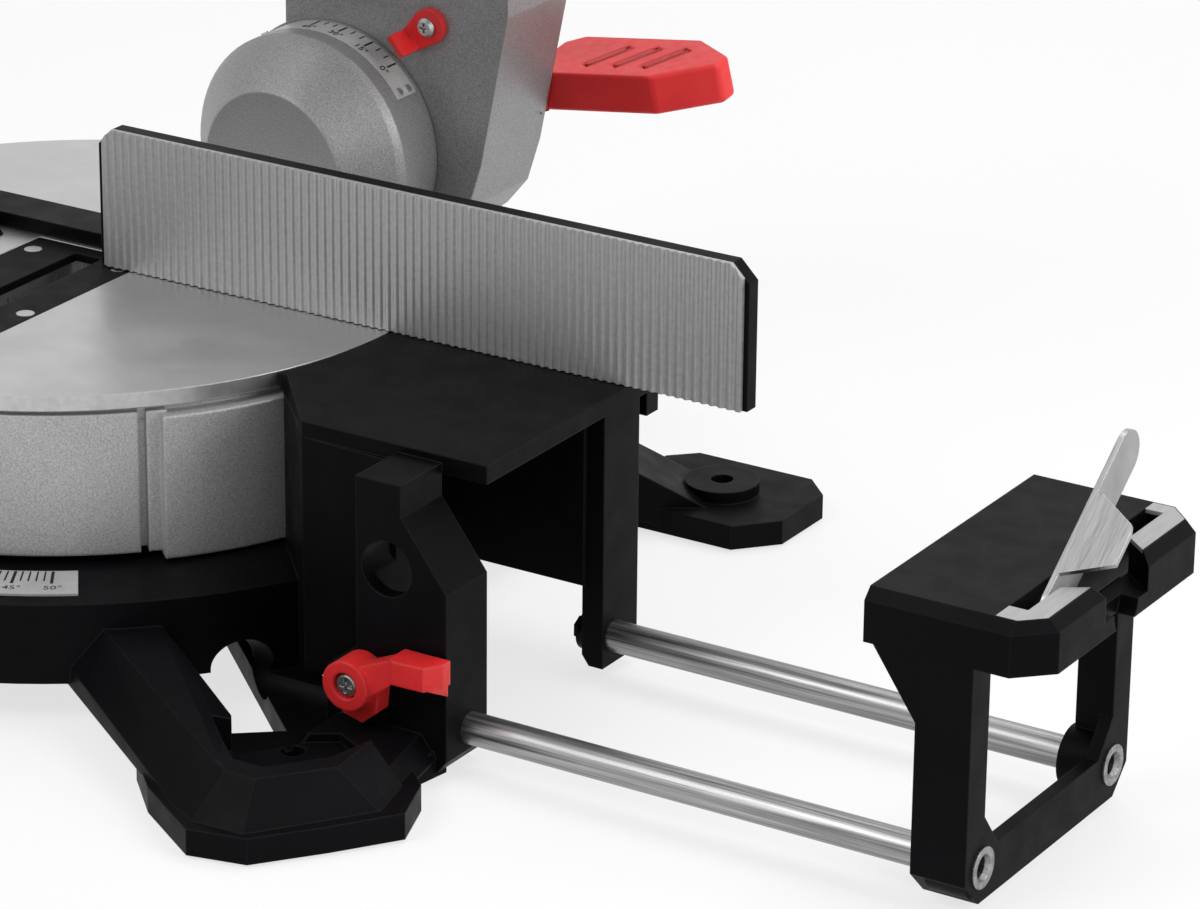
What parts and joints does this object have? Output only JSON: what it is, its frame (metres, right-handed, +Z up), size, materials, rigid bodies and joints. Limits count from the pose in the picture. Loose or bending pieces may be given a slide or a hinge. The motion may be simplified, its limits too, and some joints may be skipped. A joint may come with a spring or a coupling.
{
  "type": "compound mitre saw",
  "caption": "Compound mitre saw on a splayed-foot base with a turning table, tilting arm, chopping head and a pull-out work support with a flip-up stop at each side.",
  "frame": {"origin": "on the bench, under the turntable's axis, in the middle of the bench bolts", "axes": "+X along the fence to the right, +Y from the user towards the fence, +Z up"},
  "size_m": [0.966, 0.5246, 0.5672],
  "materials": {
    "black_paint": "fine-grained satin black paint on cast aluminium",
    "black_plastic": "finely textured black plastic",
    "cast_aluminium": "light-grey sparkling paint on cast aluminium",
    "strip_aluminium": "bare satin strip",
    "scale_plate": "light-grey plate with black marks",
    "red_plastic": "satin red plastic",
    "bar_steel": "polished steel tube",
    "stainless_steel": "brushed stainless sheet",
    "zinc_steel": "zinc-plated steel",
    "black_steel": "black oxide steel",
    "rubber": "black rubber",
    "smoke_plastic": "smoke-tinted clear plastic",
    "blade_steel": "ground steel",
    "motor_iron": "laminated iron with windings"
  },
  "bodies": {
    "base": {"base_casting": "black_paint", "rubber_feet": "rubber", "pivot_bolt": "zinc_steel", "mitre_scale": "scale_plate", "fence": "black_paint", "fence_facings": "strip_aluminium", "fence_bolts": "zinc_steel"},
    "table": {"turntable": "cast_aluminium", "kerf_plate": "black_plastic", "kerf_screws": "zinc_steel", "mitre_pointer": "red_plastic", "bevel_scale": "scale_plate", "bevel_shaft": "zinc_steel"},
    "mitre_knob": {"mitre_knob": "black_plastic"},
    "detent": {"detent_lever": "black_plastic"},
    "arm": {"bevel_arm": "cast_aluminium", "bevel_pointer": "red_plastic", "pointer_screw": "zinc_steel", "hinge_pin": "bar_steel", "return_spring": "zinc_steel", "depth_stop": "zinc_steel"},
    "bevel_lever": {"bevel_lever": "red_plastic"},
    "lock_pin": {"head_lock_pin": "black_plastic"},
    "head": {"belt_housing": "cast_aluminium", "belt_cover": "black_plastic", "drive_belt": "rubber", "upper_guard": "cast_aluminium", "motor_housing": "black_plastic", "motor_cap": "black_plastic", "stator": "motor_iron", "brush_caps": "black_plastic", "handle": "black_plastic", "carry_handle": "black_plastic", "dust_spout": "black_plastic"},
    "trigger": {"trigger": "red_plastic"},
    "lock_off": {"lock_off_button": "red_plastic"},
    "spindle_lock": {"spindle_lock": "red_plastic"},
    "lower_guard": {"lower_guard": "smoke_plastic"},
    "spindle": {"blade": "blade_steel", "arbor": "zinc_steel", "arbor_bolt": "zinc_steel", "arbor_flanges": "zinc_steel"},
    "rotor": {"armature": "motor_iron", "motor_fan": "black_plastic"},
    "right_support": {"right_bars": "bar_steel", "right_end_support": "black_paint", "right_wear_strip": "strip_aluminium", "right_bar_stops": "black_steel", "right_stop_pin": "zinc_steel"},
    "right_stop": {"right_flip_stop": "stainless_steel"},
    "right_lock": {"right_lock_lever": "red_plastic", "right_lock_screw": "zinc_steel"},
    "left_support": {"left_bars": "bar_steel", "left_end_support": "black_paint", "left_wear_strip": "strip_aluminium", "left_bar_stops": "black_steel", "left_stop_pin": "zinc_steel"},
    "left_stop": {"left_flip_stop": "stainless_steel"},
    "left_lock": {"left_lock_lever": "red_plastic", "left_lock_screw": "zinc_steel"}
  },
  "joints": [
    {"name": "mitre", "type": "hinge", "parent": "base", "child": "table", "pos_m": [0, 0, 0.112], "axis": [0, 0, 1], "range_deg": [-47, 50]},
    {"name": "mitre_lock_turn", "type": "hinge", "parent": "table", "child": "mitre_knob", "pos_m": [0, -0.206, 0.084], "axis": [0, -1, 0], "range_deg": [-180, 180]},
    {"name": "detent_press", "type": "hinge", "parent": "table", "child": "detent", "pos_m": [0, -0.188, 0.055], "axis": [1, 0, 0], "range_deg": [0, 4], "stiffness_Nm_per_rad": 2, "springref_deg": -5.73},
    {"name": "bevel", "type": "hinge", "parent": "table", "child": "arm", "pos_m": [0, 0.178, 0.112], "axis": [0, -1, 0], "range_deg": [0, 45]},
    {"name": "bevel_lock_turn", "type": "hinge", "parent": "arm", "child": "bevel_lever", "pos_m": [0, 0.223, 0.112], "axis": [0, -1, 0], "range_deg": [0, 55]},
    {"name": "head_lock_push", "type": "slide", "parent": "arm", "child": "lock_pin", "axis": [1, 0, 0], "range_m": [0, 0.009]},
    {"name": "chop", "type": "hinge", "parent": "arm", "child": "head", "pos_m": [0, 0.203, 0.252], "axis": [1, 0, 0], "range_deg": [0, 40], "stiffness_Nm_per_rad": 12, "springref_deg": -91.67, "deforming": ["return_spring"]},
    {"name": "guard_swing", "type": "hinge", "parent": "head", "child": "lower_guard", "pos_m": [0, -0.03318, 0.37969], "axis": [1, 0, 0], "range_deg": [0, 155]},
    {"name": "blade_spin", "type": "hinge", "parent": "head", "child": "spindle", "pos_m": [0, -0.03318, 0.37969], "axis": [1, 0, 0], "continuous": true},
    {"name": "motor_spin", "type": "hinge", "parent": "head", "child": "rotor", "pos_m": [0, 0.04886, 0.40745], "axis": [1, 0, 0], "continuous": true},
    {"name": "trigger_pull", "type": "slide", "parent": "head", "child": "trigger", "axis": [0, 0.6428, 0.766], "range_m": [0, 0.005], "stiffness_N_per_m": 600, "springref_m": -0.004},
    {"name": "lock_off_press", "type": "slide", "parent": "head", "child": "lock_off", "axis": [0, -0.6428, -0.766], "range_m": [0, 0.0035], "stiffness_N_per_m": 500, "springref_m": -0.004},
    {"name": "spindle_lock_press", "type": "slide", "parent": "head", "child": "spindle_lock", "axis": [-1, 0, 0], "range_m": [0, 0.004], "stiffness_N_per_m": 500, "springref_m": -0.004},
    {"name": "right_pull_out", "type": "slide", "parent": "base", "child": "right_support", "axis": [1, 0, 0], "range_m": [-0.155, 0]},
    {"name": "right_stop_flip", "type": "hinge", "parent": "right_support", "child": "right_stop", "pos_m": [0.4635, -0.07645, 0.10325], "axis": [1, 0, 0], "range_deg": [-37, 53]},
    {"name": "right_lock_turn", "type": "hinge", "parent": "base", "child": "right_lock", "pos_m": [0.2165, -0.118, 0.034], "axis": [0, -1, 0], "range_deg": [0, 60]},
    {"name": "left_pull_out", "type": "slide", "parent": "base", "child": "left_support", "axis": [-1, 0, 0], "range_m": [-0.155, 0]},
    {"name": "left_stop_flip", "type": "hinge", "parent": "left_support", "child": "left_stop", "pos_m": [-0.4635, -0.07645, 0.10325], "axis": [1, 0, 0], "range_deg": [-37, 53]},
    {"name": "left_lock_turn", "type": "hinge", "parent": "base", "child": "left_lock", "pos_m": [-0.2165, -0.118, 0.034], "axis": [0, 1, 0], "range_deg": [0, 60]}
  ],
  "couplings": [
    {"joint": "guard_swing", "follows": "chop", "ratio": 3.875},
    {"joint": "motor_spin", "follows": "blade_spin", "ratio": 1.7}
  ]
}
